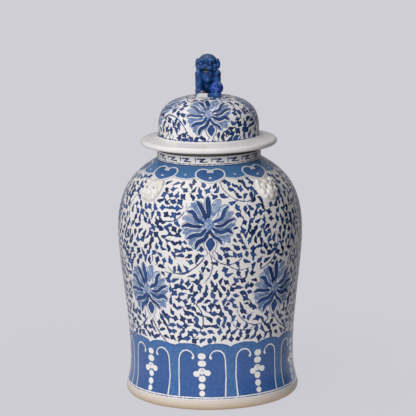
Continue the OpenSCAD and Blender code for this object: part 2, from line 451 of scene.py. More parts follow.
wall_outline = smooth_through(wall_rings, 0.5)
lid_outline = lid_outside[lid_outside[:, 1] > SEAT_Z + 9.5]
body_sheet = new_sheet(wall_outline, 0.8)
neck_sheet = new_sheet(neck_outside, 0.5)
lid_sheet = new_sheet(lid_outline, 0.7)
for title, sheet in (("body", body_sheet), ("neck", neck_sheet), ("lid", lid_sheet)):
    print(title, "sheet:", sheet["cobalt"].shape, "rows and columns")

# %% [markdown]
# ## Lotus flowers
# A lotus has a dotted centre, long petals that sway out and back, and a drop-shaped sepal below. Each dark
# petal is one loaded stroke beside a pale wash, and fine lines follow its edges. The paler petals between
# them are wash and lines only. Points are in mm from the heart of a flower of 49 mm radius.

# %% Paint a lotus
HEART_R, FLOWER_R = 9.5, 49
# each dark petal: half-width of its core, the side its pale wash lies on, and points along it from the heart
DARK_PETALS = [
    (4.9, 0, [(0, 13), (-0.7, 27), (-1.3, 40), (-1, 50)]),
    (3.5, -1, [(10, 4.5), (23, 13), (27, 24), (36, 32)]),
    (3.0, 1, [(12, -2), (24, -3), (35, 5.5), (48, 10.5)]),
    (3.7, 1, [(8.5, -7), (21.5, -14.6), (35, -10), (44, -18)]),
    (2.8, -1, [(2, -10), (9, -19.5), (18.5, -26), (25, -36)]),
    (4.1, 1, [(0, -13), (-8, -25), (-18.5, -31), (-22, -44)]),
    (3.7, 1, [(-4.6, -9), (-14.5, -17), (-26, -19), (-39, -27)]),
    (3.3, -1, [(-12, -3.3), (-27, -4), (-37.5, -1.3), (-48, -5.5)]),
    (4.2, 1, [(-10, 2.6), (-21, 11), (-27, 20.4), (-39, 21.5)]),
    (4.0, -1, [(-5.5, 10), (-10.5, 23.5), (-14.5, 33.5), (-21, 42)])]
# each pale petal: half-width of its wash, how strong the wash is, and its points
PALE_PETALS = [
    (6.4, 0.5, [(4.5, 12), (9.5, 25), (14, 36), (20, 44)]),
    (4.8, -1.2, [(12, 2), (25, 7), (35, 17), (44, 21)]),
    (3.6, 1.0, [(12, -5), (24, -8), (36, -3), (46, 0)]),
    (5.8, 0.0, [(8, -11), (19, -21), (30, -22), (37, -31)]),
    (4.8, 0.6, [(-5, -14), (-15, -23), (-26, -26), (-33, -36)]),
    (5.0, 0.5, [(-9, -7), (-22, -10.5), (-34, -12), (-44, -16)]),
    (5.0, -1.8, [(-12, 0.5), (-26, 4.5), (-36, 10), (-46, 9)]),
    (5.2, 0.4, [(-8, 7), (-17, 20), (-21, 30), (-30, 36)])]
PETAL_STEPS = 9
CORE_SHAPE = np.interp(np.linspace(0, 1, PETAL_STEPS),
                       [0, 0.2, 0.45, 0.75, 0.92, 1], [0.55, 0.9, 1, 0.9, 0.5, 0.1])
WASH_SHAPE = np.interp(np.linspace(0, 1, PETAL_STEPS), [0, 0.2, 0.6, 0.85, 1], [0.3, 0.7, 1, 0.9, 0.35])


def along_petal(points, aside=0.0, shape=CORE_SHAPE):
    """Even points along a petal; aside shifts them to the right of its direction, in mm where it is wide."""
    path = smooth_through(points, 1.0)
    path = path[np.linspace(0, len(path) - 1, PETAL_STEPS).astype(int)]
    heading = np.gradient(path, axis=0)
    heading /= np.hypot(*heading.T)[:, None]
    to_right = np.stack([heading[:, 1], -heading[:, 0]], axis=1)
    return path + to_right * (aside * shape)[:, None]


def fine_line(sheet, points, half=0.62):
    """A thin even line that tapers at its end."""
    stroke(sheet, "line", points,
           np.interp(np.linspace(0, 1, len(points)), [0, 0.8, 1], [half, half, half * 0.5]), margin=1.8)


def paint_lotus(sheet, angle, rise, radius, draw):
    """One flower with its sepal; draw is the random source for its small irregularities."""
    size = radius / FLOWER_R
    put = placed(sheet, angle, rise, turn=math.radians(draw.uniform(-3, 3)), size=size)
    for width, strength, points in PALE_PETALS:
        stroke(sheet, "wash", put(along_petal(points)), width * size * WASH_SHAPE + strength)
        for aside in (-1.0, -0.35, 0.35, 1.0):
            fine_line(sheet, put(along_petal(points, aside * width, WASH_SHAPE)[1:]))
    for width, side, points in DARK_PETALS:
        pale = along_petal(points, side * (width + 1.6), WASH_SHAPE)
        stroke(sheet, "wash", put(pale), (width * 0.9 + 0.8) * size * WASH_SHAPE + 0.4)
        fine_line(sheet, put(along_petal(points, side * (2 * width + 2.4), WASH_SHAPE)[2:]))
        fine_line(sheet, put(along_petal(points, -(side or 1) * (width + 1.5), WASH_SHAPE)[1:]))
        tone = draw.uniform(0.12, 0.42)
        stroke(sheet, "cobalt", put(along_petal(points)), (width * CORE_SHAPE + 0.15) * size, tone=tone)
        gleam = along_petal(points, (side or -1) * (width + 0.5), WASH_SHAPE)[1:-1]
        stroke(sheet, "white", put(gleam), [0.3, 0.7, 0.8, 0.8, 0.75, 0.6, 0.3], margin=1.8)
    ring = [(HEART_R * math.sin(a), HEART_R * math.cos(a)) for a in np.linspace(0, 2 * math.pi, 17)]
    stroke(sheet, "wash", put([(0, 0), (0.1, 0)]), [HEART_R * size] * 2)
    fine_line(sheet, put(ring))
    for count, out in ((1, 0), (6, 3.6), (11, 7.2)):
        for k in range(count):
            a = 2 * math.pi * k / count + out
            spot = (out * math.sin(a), out * math.cos(a))
            stroke(sheet, "line", put([spot, (spot[0] + 0.1, spot[1])]), [1.1 * size] * 2, margin=1.8)
    drop = [(4.0, -22.5), (3.8, -27.0), (3.6, -33.5), (3.4, -40.0), (3.2, -47.0)]
    stroke(sheet, "cobalt", put(drop), np.array([0.4, 4.4, 7.9, 5.0, 0.6]) * size, tone=0.3)
    for side in (-1, 1):
        rim = [(4 + side * 3, -20.5), (3.8 + side * 8.6, -27), (3.6 + side * 11.6, -34.5),
               (3.4 + side * 9, -42.5), (3.2 + side * 3.5, -49.5), (3.0 + side * 9, -57)]
        fine_line(sheet, put(rim), 0.7)


UPPER_LOTUS_Z, LOWER_LOTUS_Z, LID_LOTUS_Z = 329, 208, 505
QUARTER = math.pi / 2
draw = random.Random(7)
lotus_places = []
for k in range(4):
    lotus_places.append((body_sheet, k * QUARTER - math.radians(1), rise_at(body_sheet, UPPER_LOTUS_Z), 48))
    lotus_places.append((body_sheet, (k + 0.5) * QUARTER, rise_at(body_sheet, LOWER_LOTUS_Z), 47.5))
    lotus_places.append((lid_sheet, k * QUARTER, rise_at(lid_sheet, LID_LOTUS_Z), 41))
for sheet, angle, rise, radius in lotus_places:
    paint_lotus(sheet, angle, rise, radius, draw)
print(len(lotus_places), "lotus flowers painted")

# %% [markdown]
# ## The borders
# A collar of cloud heads hangs from the neck: solid blue ground whose lower edge is scalloped, with
# heart-shaped heads left in white outline. Round the foot stand nine tall panels with arched white lines and
# a string of white beads. Both are drawn as blue ground first, and white lines are then reserved out of it.

# %% Shoulder collar of cloud heads
COLLAR_HEADS = 8
HEAD_Z, LOBE_Z = 405.5, 400.0
HEAD_SHIFT = math.radians(0.7)
GROUND_TONE, HEAD_TONE, PANEL_TONE, STRIP_TONE = 0.95, 0.68, 0.56, 0.73


def paint_ground(sheet, inside, tone):
    """Lays solid blue where inside, a depth in mm over the whole sheet, is above zero."""
    deeper = inside > sheet["cobalt"]
    sheet["cobalt"] = np.where(deeper, inside, sheet["cobalt"])
    sheet["tone"] = np.where(deeper & (inside > -2), tone, sheet["tone"])


def cloud_head(sheet, angle, rise, layer):
    """Two lobes and a rounded foot, as strokes on a layer."""
    put = placed(sheet, angle, rise)
    for side in (-1, 1):
        stroke(sheet, layer, put([(side * 12.4, 2.0), (side * 12.6, 2.0)]), [11.6, 11.6], margin=8)
        stroke(sheet, layer, put([(side * 10, -2), (side * 1.5, -6)]), [10, 10.2], margin=8)


body_sheet["heads"] = np.full_like(body_sheet["cobalt"], -FAR)
head_rise = rise_at(body_sheet, HEAD_Z)
for k in range(COLLAR_HEADS):
    cloud_head(body_sheet, 2 * math.pi * k / COLLAR_HEADS + HEAD_SHIFT, head_rise, "heads")
heads = body_sheet["heads"]
theta = body_sheet["theta"][None, :]
rise = body_sheet["s"][:, None]
pitch = 2 * math.pi / COLLAR_HEADS
from_lobe = (theta - HEAD_SHIFT) % pitch - pitch / 2
lobe_edge = rise_at(body_sheet, LOBE_Z) + 5.5 * (np.abs(from_lobe) / (pitch * 0.24)) ** 2
collar = np.maximum(rise - lobe_edge, heads)
paint_ground(body_sheet, collar.astype(np.float32), GROUND_TONE)
for layer in ("wash", "line"):
    body_sheet[layer] = np.where(collar > -3.5, -FAR, body_sheet[layer])
body_sheet["line"] = np.maximum(body_sheet["line"], 0.5 - np.abs(collar + 2.7))
from_head = ((theta - HEAD_SHIFT + pitch / 2) % pitch - pitch / 2) * body_sheet["r"][:, None]
outline = 1.3 - np.abs(heads + 0.8)
open_top = (np.abs(from_head) < 3.2) & (rise > head_rise)
body_sheet["white"] = np.maximum(body_sheet["white"], np.where(open_top, -FAR, outline))
body_sheet["tone"] = np.where(heads > -1, HEAD_TONE, body_sheet["tone"])
for k in range(COLLAR_HEADS):
    put = placed(body_sheet, 2 * math.pi * k / COLLAR_HEADS + HEAD_SHIFT, head_rise)
    for side in (-1, 1):
        curl = [(side * 8, 13.6), (side * 4.4, 12.2), (side * 3.0, 9.0), (side * 3.8, 6.4)]
        stroke(body_sheet, "white", put(curl), [1.0, 1.1, 1.3, 1.9])
    stroke(body_sheet, "white", put([(-3.0, -8.0), (0, -6.6), (3.0, -8.0)]), [0.5, 1.5, 0.6])
    put = placed(body_sheet, 2 * math.pi * (k + 0.5) / COLLAR_HEADS + HEAD_SHIFT,
                 rise_at(body_sheet, LOBE_Z + 5))
    stroke(body_sheet, "white", put([(-3, 1.4), (0, 0.4), (2.4, -1.2)]), [0.5, 1.3, 0.5])
print(COLLAR_HEADS, "cloud heads painted")

# %% Panels round the foot
PANELS = 9
PANEL_SHIFT = math.radians(-7.0)
VALLEY_Z, SCALLOP_RISE = 109.5, 9.0
GROUND_FOOT_Z, FOOT_LINE_Z, BARE_Z = 24.4, 21.5, 19.4
SIDE_X, BEAD_R = 40.8, 5.7
BEADS_Z = [95.5, 82.6, 69.2, 55.8, 42.4, 30.4]

panel_pitch = 2 * math.pi / PANELS
from_valley = (theta - PANEL_SHIFT) % (panel_pitch / 2) - panel_pitch / 4
arc = np.sqrt(np.clip(1 - (from_valley / (panel_pitch / 3.92)) ** 2, 0, 1))
scallop_edge = rise_at(body_sheet, VALLEY_Z) + SCALLOP_RISE * arc
panels = np.minimum(scallop_edge - rise, rise - rise_at(body_sheet, GROUND_FOOT_Z))
paint_ground(body_sheet, panels.astype(np.float32), PANEL_TONE)
from_panel = (((theta - PANEL_SHIFT + panel_pitch / 2) % panel_pitch - panel_pitch / 2)
              * body_sheet["r"][:, None])
arch_top = rise_at(body_sheet, 106) - 0.028 * (np.abs(np.abs(from_panel) - 26)) ** 2
outside_panel = (np.abs(from_panel) > SIDE_X) | (rise > arch_top)
body_sheet["tone"] = np.where((panels > -2) & outside_panel, STRIP_TONE, body_sheet["tone"])
for layer in ("wash", "line"):
    body_sheet[layer] = np.where(panels > -2.5, -FAR, body_sheet[layer])
foot_line = 0.8 - np.abs(rise - rise_at(body_sheet, FOOT_LINE_Z)) + 0 * theta
paint_ground(body_sheet, foot_line.astype(np.float32), STRIP_TONE)
draw = random.Random(11)
for k in range(PANELS):
    centre = PANEL_SHIFT + k * panel_pitch
    for side in (-1, 1):
        path = [(SIDE_X, 25.5), (SIDE_X + 0.6, 58), (SIDE_X - 0.2, 90), (SIDE_X - 2.5, 99),
                (SIDE_X - 8, 104.6), (SIDE_X - 15, 106), (SIDE_X - 21, 104),
                (SIDE_X - 25.5, 99), (SIDE_X - 26.6, 94.5), (SIDE_X - 25.2, 92.4)]
        wobble = draw.uniform(-1, 1)
        points = [
            (centre + side * (x + wobble * math.sin(z / 30)) / radius_on(body_sheet, rise_at(body_sheet, z)),
             rise_at(body_sheet, z)) for x, z in path]
        stroke(body_sheet, "white", points, [1.2, 1.0, 1.0, 1.1, 1.2, 1.2, 1.1, 1.0, 1.5, 2.3])
    for row, z in enumerate(BEADS_Z):
        r = radius_on(body_sheet, rise_at(body_sheet, z))
        wide = [1.4, 2.0, 0.8, 0.4, 0.4, 0.1][row]
        size = BEAD_R * [0.93, 0.92, 1.0, 0.98, 1.0, 0.9][row] * draw.uniform(0.95, 1.04)
        x = draw.uniform(-0.6, 0.6)
        spots = [(x, z, wide, size)] + ([(-9.6, 64.2, 0.6, 5.0), (9.6, 66.0, 0.6, 5.0)] if row == 2 else [])
        for bx, bz, half, bead in spots:
            up = rise_at(body_sheet, bz)
            stroke(body_sheet, "white",
                   [(centre + (bx - half) / r, up), (centre + (bx + half) / r, up)], [bead, bead])
beads_ring_rise = rise_at(body_sheet, BEADS_Z[2])
ring_depth = 0.55 - np.abs(np.hypot(from_panel, rise - beads_ring_rise) - 2.6)
body_sheet["white"] = np.where((np.hypot(from_panel, rise - beads_ring_rise) < 5) & (ring_depth > -2),
                               np.minimum(body_sheet["white"], -ring_depth), body_sheet["white"])
print(PANELS, "panels painted")

# %% [markdown]
# ## The scroll
# Small forked leaves fill everything between the flowers. They stand on a loose grid, row by row, each pushed
# a little off its place and turned along a slow swirl, so the cover is even but never repeats. A leaf is two
# or three short pressed strokes and a thin tail, and long stems sweep through between the flowers.

# %% Leaves and stems
LEAF_GAP_X, LEAF_GAP_Y = 13.2, 11.4
TAIL = ([(-3.2, 0), (-6.0, -1.6), (-8.2, -1.0), (-9.6, 0.6)], [2.0, 1.2, 0.9, 0.7])
TREFOIL = [([(-2.0, 0), (1.2, 0)], [2.8, 3.1]), ([(0.0, 1.4), (0.8, 3.4)], [2.4, 2.5]),
           ([(0.0, -1.4), (1.0, -3.2)], [2.4, 2.4]), ([(1, 0), (4.9, 0.2)], [2.8, 2.1]), TAIL]
WAVY = [([(-2.8, 0.2), (1.2, 1.0), (4.2, -0.6)], [2.9, 3.1, 2.5]),
        ([(-0.4, -1), (0.6, -3.0)], [2.4, 2.2]), TAIL]
COMMA = [([(-3.6, 0.4), (-1.0, -0.8), (2.2, -0.6), (4.8, 2.2)], [2.2, 3.2, 3.2, 2.0]), TAIL]
BEAN = [([(-3.6, 0), (0.2, 0.4), (4.6, 0)], [2.3, 3.0, 2.4]), ([(0.8, 1.4), (1.4, 3.2)], [2.2, 1.8]), TAIL]
LEAVES = (TREFOIL, WAVY, COMMA, BEAN)
SMALL = [([(-1.4, 0), (1.6, 0.4)], [2.1, 2.6]), ([(-1.4, 0), (-4.8, -1.0)], [1.4, 0.8])]


def look_up(sheet, layer, angle, rise):
    """The value of a layer at its grid point nearest to a place."""
    row = min(len(sheet["s"]) - 1, max(0, round(rise / sheet["step"])))
    column = round((angle + math.pi) / sheet["turn"]) % sheet["columns"]
    return layer[row, column]


def roomiest(sheet, angle, rise, spread, draw):
    """The depth in the paint, angle and rise of the clearest of several places near (angle, rise)."""
    best = None
    for _ in range(7):
        up = rise + draw.uniform(-spread, spread)
        at = angle + draw.uniform(-spread, spread) / radius_on(sheet, up)
        depth = max(look_up(sheet, sheet[layer], at, up) for layer in ("taken", "leaf", "stem"))
        if best is None or depth < best[0]:
            best = (depth, at, up)
    return best


def sweep(sheet, angle, rise, heading, length, bend, width=1.15):
    """A long stem that sets out from a point at a heading and turns steadily; returns its points."""
    path = [(angle, rise)]
    steps = max(3, round(length / 7))
    for k in range(steps):
        heading += bend / steps
        angle += math.cos(heading) * length / steps / radius_on(sheet, rise)
        rise += math.sin(heading) * length / steps
        path.append((angle, rise))
    stroke(sheet, "stem", path, np.linspace(width, 0.8, len(path)), margin=6)
    return path


def paint_leaf(sheet, shapes, angle, rise, heading, size, flip, tone):
    """One leaf, from its strokes."""
    put = placed(sheet, angle, rise, turn=heading, size=size, flip=flip)
    for points, widths in shapes:
        stroke(sheet, "leaf", put(points), np.array(widths) * size, tone, margin=6, tone_in="leaf_tone")


def paint_scroll(sheet, bottom, top, draw, masks=(), gap=1.0):
    """Fills the rows from bottom to top, given as rises, with stems and leaves."""
    for layer in ("leaf", "stem"):
        sheet[layer] = np.full_like(sheet["cobalt"], -FAR)
    sheet["leaf_tone"] = np.zeros_like(sheet["tone"])
    sheet["taken"] = np.maximum.reduce([sheet[layer] for layer in LAYERS])
    for angle, rise, reach in masks:
        stroke(sheet, "taken", [(angle, rise), (angle + 0.001, rise)], [reach, reach], margin=1)
    for place_sheet, angle, rise, radius in lotus_places:
        if place_sheet is sheet:
            for side in (-1, 1):
                foot = rise - radius * 1.1
                start = (angle + side * 6 / radius_on(sheet, foot), foot)
                path = sweep(sheet, *start, -math.pi / 2 + side * draw.uniform(0.3, 0.8),
                             draw.uniform(60, 110), side * draw.uniform(0.9, 2.2))
                sweep(sheet, *path[5], -math.pi / 2 + side * 0.6, draw.uniform(35, 60),
                      side * draw.uniform(1, 2.4))
    for _ in range(int(sheet["s"][-1] / 9)):
        start = (draw.uniform(-math.pi, math.pi), draw.uniform(bottom, top))
        sweep(sheet, *start, draw.uniform(-math.pi, math.pi), draw.uniform(45, 85), draw.choice((-1.7, 1.7)))
    count, row, rise = 0, 0, bottom
    while rise < top:
        across = max(6, round(2 * math.pi * radius_on(sheet, rise) / LEAF_GAP_X / gap))
        for k in range(across):
            depth, angle, up = roomiest(sheet, 2 * math.pi * (k + 0.5 * (row % 2)) / across, rise, 3.8, draw)
            if depth > -3.6:
                continue
            swirl = 0.9 * math.sin(3 * angle + up / 40) + 0.7 * math.cos(5 * angle - up / 27) - 0.9
            heading = swirl + draw.choice((0, math.pi)) + draw.uniform(-1.0, 1.0)
            size = draw.uniform(0.86, 1.08) * min(1, 0.6 - depth * 0.075)
            paint_leaf(sheet, draw.choice(LEAVES), angle, up, heading, size,
                       draw.choice((-1, 1)), draw.uniform(0.05, 0.5))
            count += 1
        rise += LEAF_GAP_Y * gap
        row += 1
    for _ in range(int(len(sheet["s"]) * sheet["columns"] / 260)):
        spot = roomiest(sheet, draw.uniform(-math.pi, math.pi), draw.uniform(bottom, top), 3, draw)
        if spot[0] < -4.0 and bottom < spot[2] < top:
            paint_leaf(sheet, SMALL, spot[1], spot[2], draw.uniform(-3, 3), 1.0, 1, draw.uniform(0.1, 0.5))
            count += 1
    shown = np.minimum(np.maximum(sheet["leaf"], sheet["stem"]), -(sheet["taken"] + 1.3))
    here = sheet["s"][:, None]
    shown = np.where((here > bottom - 5) & (here < top + 8), shown, -FAR)
    on_leaf = shown > sheet["cobalt"]
    leaf_or_stem = np.where(sheet["leaf"] > sheet["stem"], sheet["leaf_tone"], 0.45)
    sheet["tone"] = np.where(on_leaf, leaf_or_stem, sheet["tone"])
    sheet["cobalt"] = np.maximum(sheet["cobalt"], shown)
    print(count, "leaves painted")


MASK_ANGLES = [math.radians(a) for a in (-135, -45, 45, 135)]
mask_low, mask_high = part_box("lion_mask_front_left")
MASK_Z = (mask_low.z + mask_high.z) / 2 / MM
mask_places = [(a, rise_at(body_sheet, MASK_Z), 23.5) for a in MASK_ANGLES]
paint_scroll(body_sheet, rise_at(body_sheet, VALLEY_Z) + 4, rise_at(body_sheet, HEAD_Z + 4),
             random.Random(3), mask_places)
paint_scroll(lid_sheet, rise_at(lid_sheet, 463), lid_sheet["s"][-1] - 20, random.Random(5), gap=0.87)

# %% Lines on the lid and the neck
dome_line = 0.7 - np.abs(lid_sheet["z"][:, None] - 459.5) + 0 * lid_sheet["theta"][None, :]
paint_ground(lid_sheet, dome_line.astype(np.float32), 0.5)
for z, half in ((434.6, 0.9), (420.4, 0.55), (417.6, 1.0)):
    ring = half - np.abs(neck_sheet["z"][:, None] - z) + 0 * neck_sheet["theta"][None, :]
    paint_ground(neck_sheet, ring.astype(np.float32), 0.3)
FRET_UNITS = 20
for k in range(FRET_UNITS):
    put = placed(neck_sheet, 2 * math.pi * k / FRET_UNITS + 0.05, rise_at(neck_sheet, 427))
    tone = draw.uniform(0.1, 0.5)
    stroke(neck_sheet, "cobalt", put([(0, -3.6), (0, 3.6)]), [0.7, 1.2], tone=0.8)
    zigzag = [(2.6, 2.2), (16.5, 2.4), (7, -2.6), (20.5, -3.0)]
    stroke(neck_sheet, "cobalt", put(zigzag), [1.0, 1.3, 0.8, 1.1], tone=tone)
print(FRET_UNITS, "fret units painted")

# %% [markdown]
# ## Carrying the painting to the meshes
# Every outside point of a spun section looks up its own place on the sheet, between four grid points, and
# keeps the layers as attributes. Inside points get a depth far below zero, which means no paint.

# %% Copy the sheets to the sections


def carry(piece, sheet):
    """Writes the sheet's layers on the piece's points as float attributes."""
    mesh = piece.data
    count = len(mesh.vertices)
    position = np.empty(count * 3)
    mesh.vertices.foreach_get("co", position)
    position = position.reshape(-1, 3) / MM
    normal = np.empty(count * 3)
    mesh.vertices.foreach_get("normal", normal)
    normal = normal.reshape(-1, 3)
    r = np.hypot(position[:, 0], position[:, 1])
    outward = (normal[:, 0] * position[:, 0] + normal[:, 1] * position[:, 1]) / np.maximum(r, 1e-6)
    outside = (outward > 0.02) | (normal[:, 2] > 0.75)
    key = position[:, 2] - r
    row = np.interp(key, sheet["z"] - sheet["r"], np.arange(len(sheet["s"])))
    column = (np.arctan2(position[:, 0], -position[:, 1]) + math.pi) / sheet["turn"]
    y0 = np.clip(np.floor(row).astype(int), 0, len(sheet["s"]) - 2)
    x0 = np.floor(column).astype(int)
    fy, fx = row - y0, column - x0
    x0 %= sheet["columns"]
    x1 = (x0 + 1) % sheet["columns"]
    for layer in (*LAYERS, "tone"):
        grid = sheet[layer]
        value = ((grid[y0, x0] * (1 - fx) + grid[y0, x1] * fx) * (1 - fy)
                 + (grid[y0 + 1, x0] * (1 - fx) + grid[y0 + 1, x1] * fx) * fy)
        if layer != "tone":
            value = np.where(outside, value, -FAR)
        attribute = mesh.attributes.new(layer, "FLOAT", "POINT")
        attribute.data.foreach_set("value", np.clip(value, -5, 5).astype(np.float32))
    print(piece.name, "carries", len(LAYERS) + 1, "attributes")


carry(lower, body_sheet)
carry(upper, body_sheet)
carry(neck, neck_sheet)
carry(lid, lid_sheet)

# %% [markdown]
# ## Painted porcelain
# The body is white porcelain under a clear glaze that is a little warm. The cobalt lies under the glaze. It
# is darkest at the edge of a stroke, where it pools, and its edges are soft by a fraction of a millimetre.
# The foot is wiped clean of glaze, and the bare clay has fired to a toasted buff. A dark band of painted
# shade lies under the flange.

# %% Porcelain painted in cobalt under clear glaze
GLAZE_ROUGHNESS = 0.16
GLAZE_WHITE, RESERVED_WHITE = "#f0eeed", "#f0eeec"
# the third colour on the next line is painted shade, laid under the flange
WASH_BLUE, LINE_BLUE, FLANGE_SHADE_BROWN = "#7aa1ca", "#3c5f97", "#4a3f33"
COBALT_STOPS = [(0.0, "#12264b"), (0.25, "#203b70"), (0.5, "#31528c"), (0.64, "#3b5d99"), (0.84, "#426ba3"),
                (1.0, "#4d7eb1")]
CLAY_STOPS = [(0.15, "#b09070"), (0.5, "#c6b298"), (0.75, "#cfc2b2"), (1.0, "#d8cec4")]


def blobs(place, size_mm, detail=2.0):
    """Inputs of a noise texture whose largest blobs are about size_mm across."""
    return {"Vector": place, "Scale": 1 / (size_mm * MM), "Detail": detail}


def span(value, low, high, start=0.0, end=1.0):
    """Inputs of a map range that takes low..high to start..end."""
    return {"Value": value, "From Min": low, "From Max": high, "To Min": start, "To Max": end}


def off_middle(material, value, amount):
    """How far a noise is above or below its middle, times an amount."""
    above = add_node(material, "Math", {0: value, 1: 0.5}, operation="SUBTRACT")
    return add_node(material, "Math", {0: above, 1: amount}, operation="MULTIPLY")


def edge(depth, soft_mm):
    """Inputs of a map range that goes from 0 outside to 1 inside, across an edge soft_mm wide."""
    return span(depth, -soft_mm / 2, soft_mm / 2)


def layers(factor, under, over):
    """Inputs of a colour mix that lays one colour over another, as far as the factor says."""
    return {"Factor": factor, 6: under, 7: over}


porcelain, porcelain_out = new_material("porcelain, cobalt under clear glaze")
place = add_node(porcelain, "TexCoord").outputs["Object"]
broad = add_node(porcelain, "TexNoise", blobs(place, 22))
brush = add_node(porcelain, "TexNoise", blobs(place, 5, 3))
grain = add_node(porcelain, "TexNoise", blobs(place, 1.3, 3))
shaky = add_node(porcelain, "TexNoise", blobs(place, 4.0, 1))
paint = {name: add_node(porcelain, "Attribute", attribute_name=name).outputs["Fac"]
         for name in (*LAYERS, "tone")}

# The glaze is faintly warmer in broad clouds.
above = add_node(porcelain, "Math", {0: broad, 1: 0.5}, operation="SUBTRACT")
glaze_white_edge = add_node(porcelain, "MapRange", edge(above, 0.5), interpolation_type="SMOOTHSTEP")
glaze_white = add_node(porcelain, "Mix", layers(glaze_white_edge, "#eae7e4", GLAZE_WHITE), data_type="RGBA")

# The wash is streaked by the brush, and the fine lines lie over it.
streaks = add_node(porcelain, "MapRange", span(brush, 0.36, 0.62, 0.15, 1.0))
wash_edge = add_node(porcelain, "MapRange", edge(paint["wash"], 1.6), interpolation_type="SMOOTHSTEP")
wash_amount = add_node(porcelain, "Math", {0: wash_edge, 1: streaks}, operation="MULTIPLY")
washed = add_node(porcelain, "Mix", layers(wash_amount, glaze_white, WASH_BLUE), data_type="RGBA")
line_depth = add_node(porcelain, "Math", {0: paint["line"], 1: 0.3}, operation="ADD")
line_edge = add_node(porcelain, "MapRange", edge(line_depth, 1.0), interpolation_type="SMOOTHSTEP")
line_amount = add_node(porcelain, "Math", {0: line_edge, 1: 0.78}, operation="MULTIPLY")
lined = add_node(porcelain, "Mix", layers(line_amount, washed, LINE_BLUE), data_type="RGBA")

# Strong cobalt is darker at the edge of a stroke, and its edge wavers with the hand.
pooled = add_node(porcelain, "MapRange", span(paint["cobalt"], 0.2, 2.6, -0.1, 0.14))
even = add_node(porcelain, "Math", {0: paint["tone"], 1: pooled}, operation="ADD")
shade = add_node(porcelain, "Math", {0: even, 1: off_middle(porcelain, brush, 0.55)}, operation="ADD")
cobalt = add_node(porcelain, "ValToRGB", {"Fac": shade}, stops=COBALT_STOPS)
waver = off_middle(porcelain, shaky, 1.4)
cobalt_depth = add_node(porcelain, "Math", {0: paint["cobalt"], 1: waver}, operation="ADD")
painted_edge = add_node(porcelain, "MapRange", edge(cobalt_depth, 0.6), interpolation_type="SMOOTHSTEP")
painted = add_node(porcelain, "Mix", layers(painted_edge, lined, cobalt), data_type="RGBA")
rough = off_middle(porcelain, grain, 0.9)
white_depth = add_node(porcelain, "Math", {0: paint["white"], 1: rough}, operation="ADD")
reserved_edge = add_node(porcelain, "MapRange", edge(white_depth, 0.6), interpolation_type="SMOOTHSTEP")
reserved = add_node(porcelain, "Mix", layers(reserved_edge, painted, RESERVED_WHITE), data_type="RGBA")

# The foot is bare clay, toasted more towards the table.
height = add_node(porcelain, "SeparateXYZ", {0: place}).outputs["Z"]
rising = add_node(porcelain, "Math", {0: height, 1: 20 * MM}, operation="DIVIDE")
uneven = add_node(porcelain, "Math", {0: brush, 1: 0.35}, operation="MULTIPLY")
clay_tone = add_node(porcelain, "Math", {0: rising, 1: uneven}, operation="ADD")
clay_colour = add_node(porcelain, "ValToRGB", {"Fac": clay_tone}, stops=CLAY_STOPS)
below = add_node(porcelain, "Math", {0: BARE_Z * MM, 1: height}, operation="SUBTRACT")
below_mm = add_node(porcelain, "Math", {0: below, 1: 1 / MM}, operation="MULTIPLY")
bare = add_node(porcelain, "MapRange", edge(below_mm, 0.8), interpolation_type="SMOOTHSTEP")
footed = add_node(porcelain, "Mix", layers(bare, reserved, clay_colour), data_type="RGBA")

# Painted shade: a dark brown is laid on the outside of the neck under the flange and on the flange's
# underside, as the flange's shadow; the top of the rim stays clean.
FLANGE_SHADE_LOW, FLANGE_SHADE_FULL = 432.4, 434.8
RIM_R = float(np.interp(434, neck_sheet["z"], neck_sheet["r"]))
risen = add_node(porcelain, "MapRange", span(height, FLANGE_SHADE_LOW * MM, FLANGE_SHADE_FULL * MM))
passed = add_node(porcelain, "MapRange", span(height, (SEAT_Z + 0.4) * MM, (SEAT_Z + 1.6) * MM))
band = add_node(porcelain, "Math", {0: risen, 1: passed}, operation="SUBTRACT")
flat = add_node(porcelain, "VectorMath", {0: place, 1: (1, 1, 0)}, operation="MULTIPLY")
reach = add_node(porcelain, "VectorMath", {0: flat}, operation="LENGTH")
past_rim = add_node(porcelain, "Math", {0: reach, 1: 1 / MM, 2: 2.0 - RIM_R}, operation="MULTIPLY_ADD")
outer = add_node(porcelain, "MapRange", edge(past_rim, 0.8), interpolation_type="SMOOTHSTEP")
outer_band = add_node(porcelain, "Math", {0: band, 1: outer}, operation="MULTIPLY")
flange_shade = add_node(porcelain, "Math", {0: outer_band, 1: 0.85}, operation="MULTIPLY")
surface = add_node(porcelain, "Mix", layers(flange_shade, footed, FLANGE_SHADE_BROWN), data_type="RGBA")

skin = add_node(porcelain, "Math", {0: bare, 1: 0.45, 2: GLAZE_ROUGHNESS}, operation="MULTIPLY_ADD")
thrown = add_node(porcelain, "TexNoise", blobs(place, 9, 1))
ripple = add_node(porcelain, "Bump", {"Height": thrown, "Strength": 0.05, "Distance": 0.4 * MM})
shader = add_node(porcelain, "BsdfPrincipled", {"Base Color": surface, "Roughness": skin, "Normal": ripple})
porcelain.node_tree.links.new(shader.outputs[0], porcelain_out.inputs["Surface"])
print("painted porcelain ready")

# %% [markdown]
# ## Clay lions
# The lions are modelled by hand: lumps are rolled, pressed on and smoothed with a wet finger, and a pointed
# tool cuts the mouth and the eyes. Here a lump is a sphere drawn out to three radii. A voxel remesh presses
# the lumps together, and a smooth pass is the wet finger. A curl of the mane is a ring with a bead in it.

# %% Pressing lumps together
_, plinth_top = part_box("finial_plinth")
GROUND = plinth_top.z / MM


def both(x, y, z, *radii):
    """The same lump on both sides."""
    return [((x, y, z), radii), ((-x, y, z), radii)]


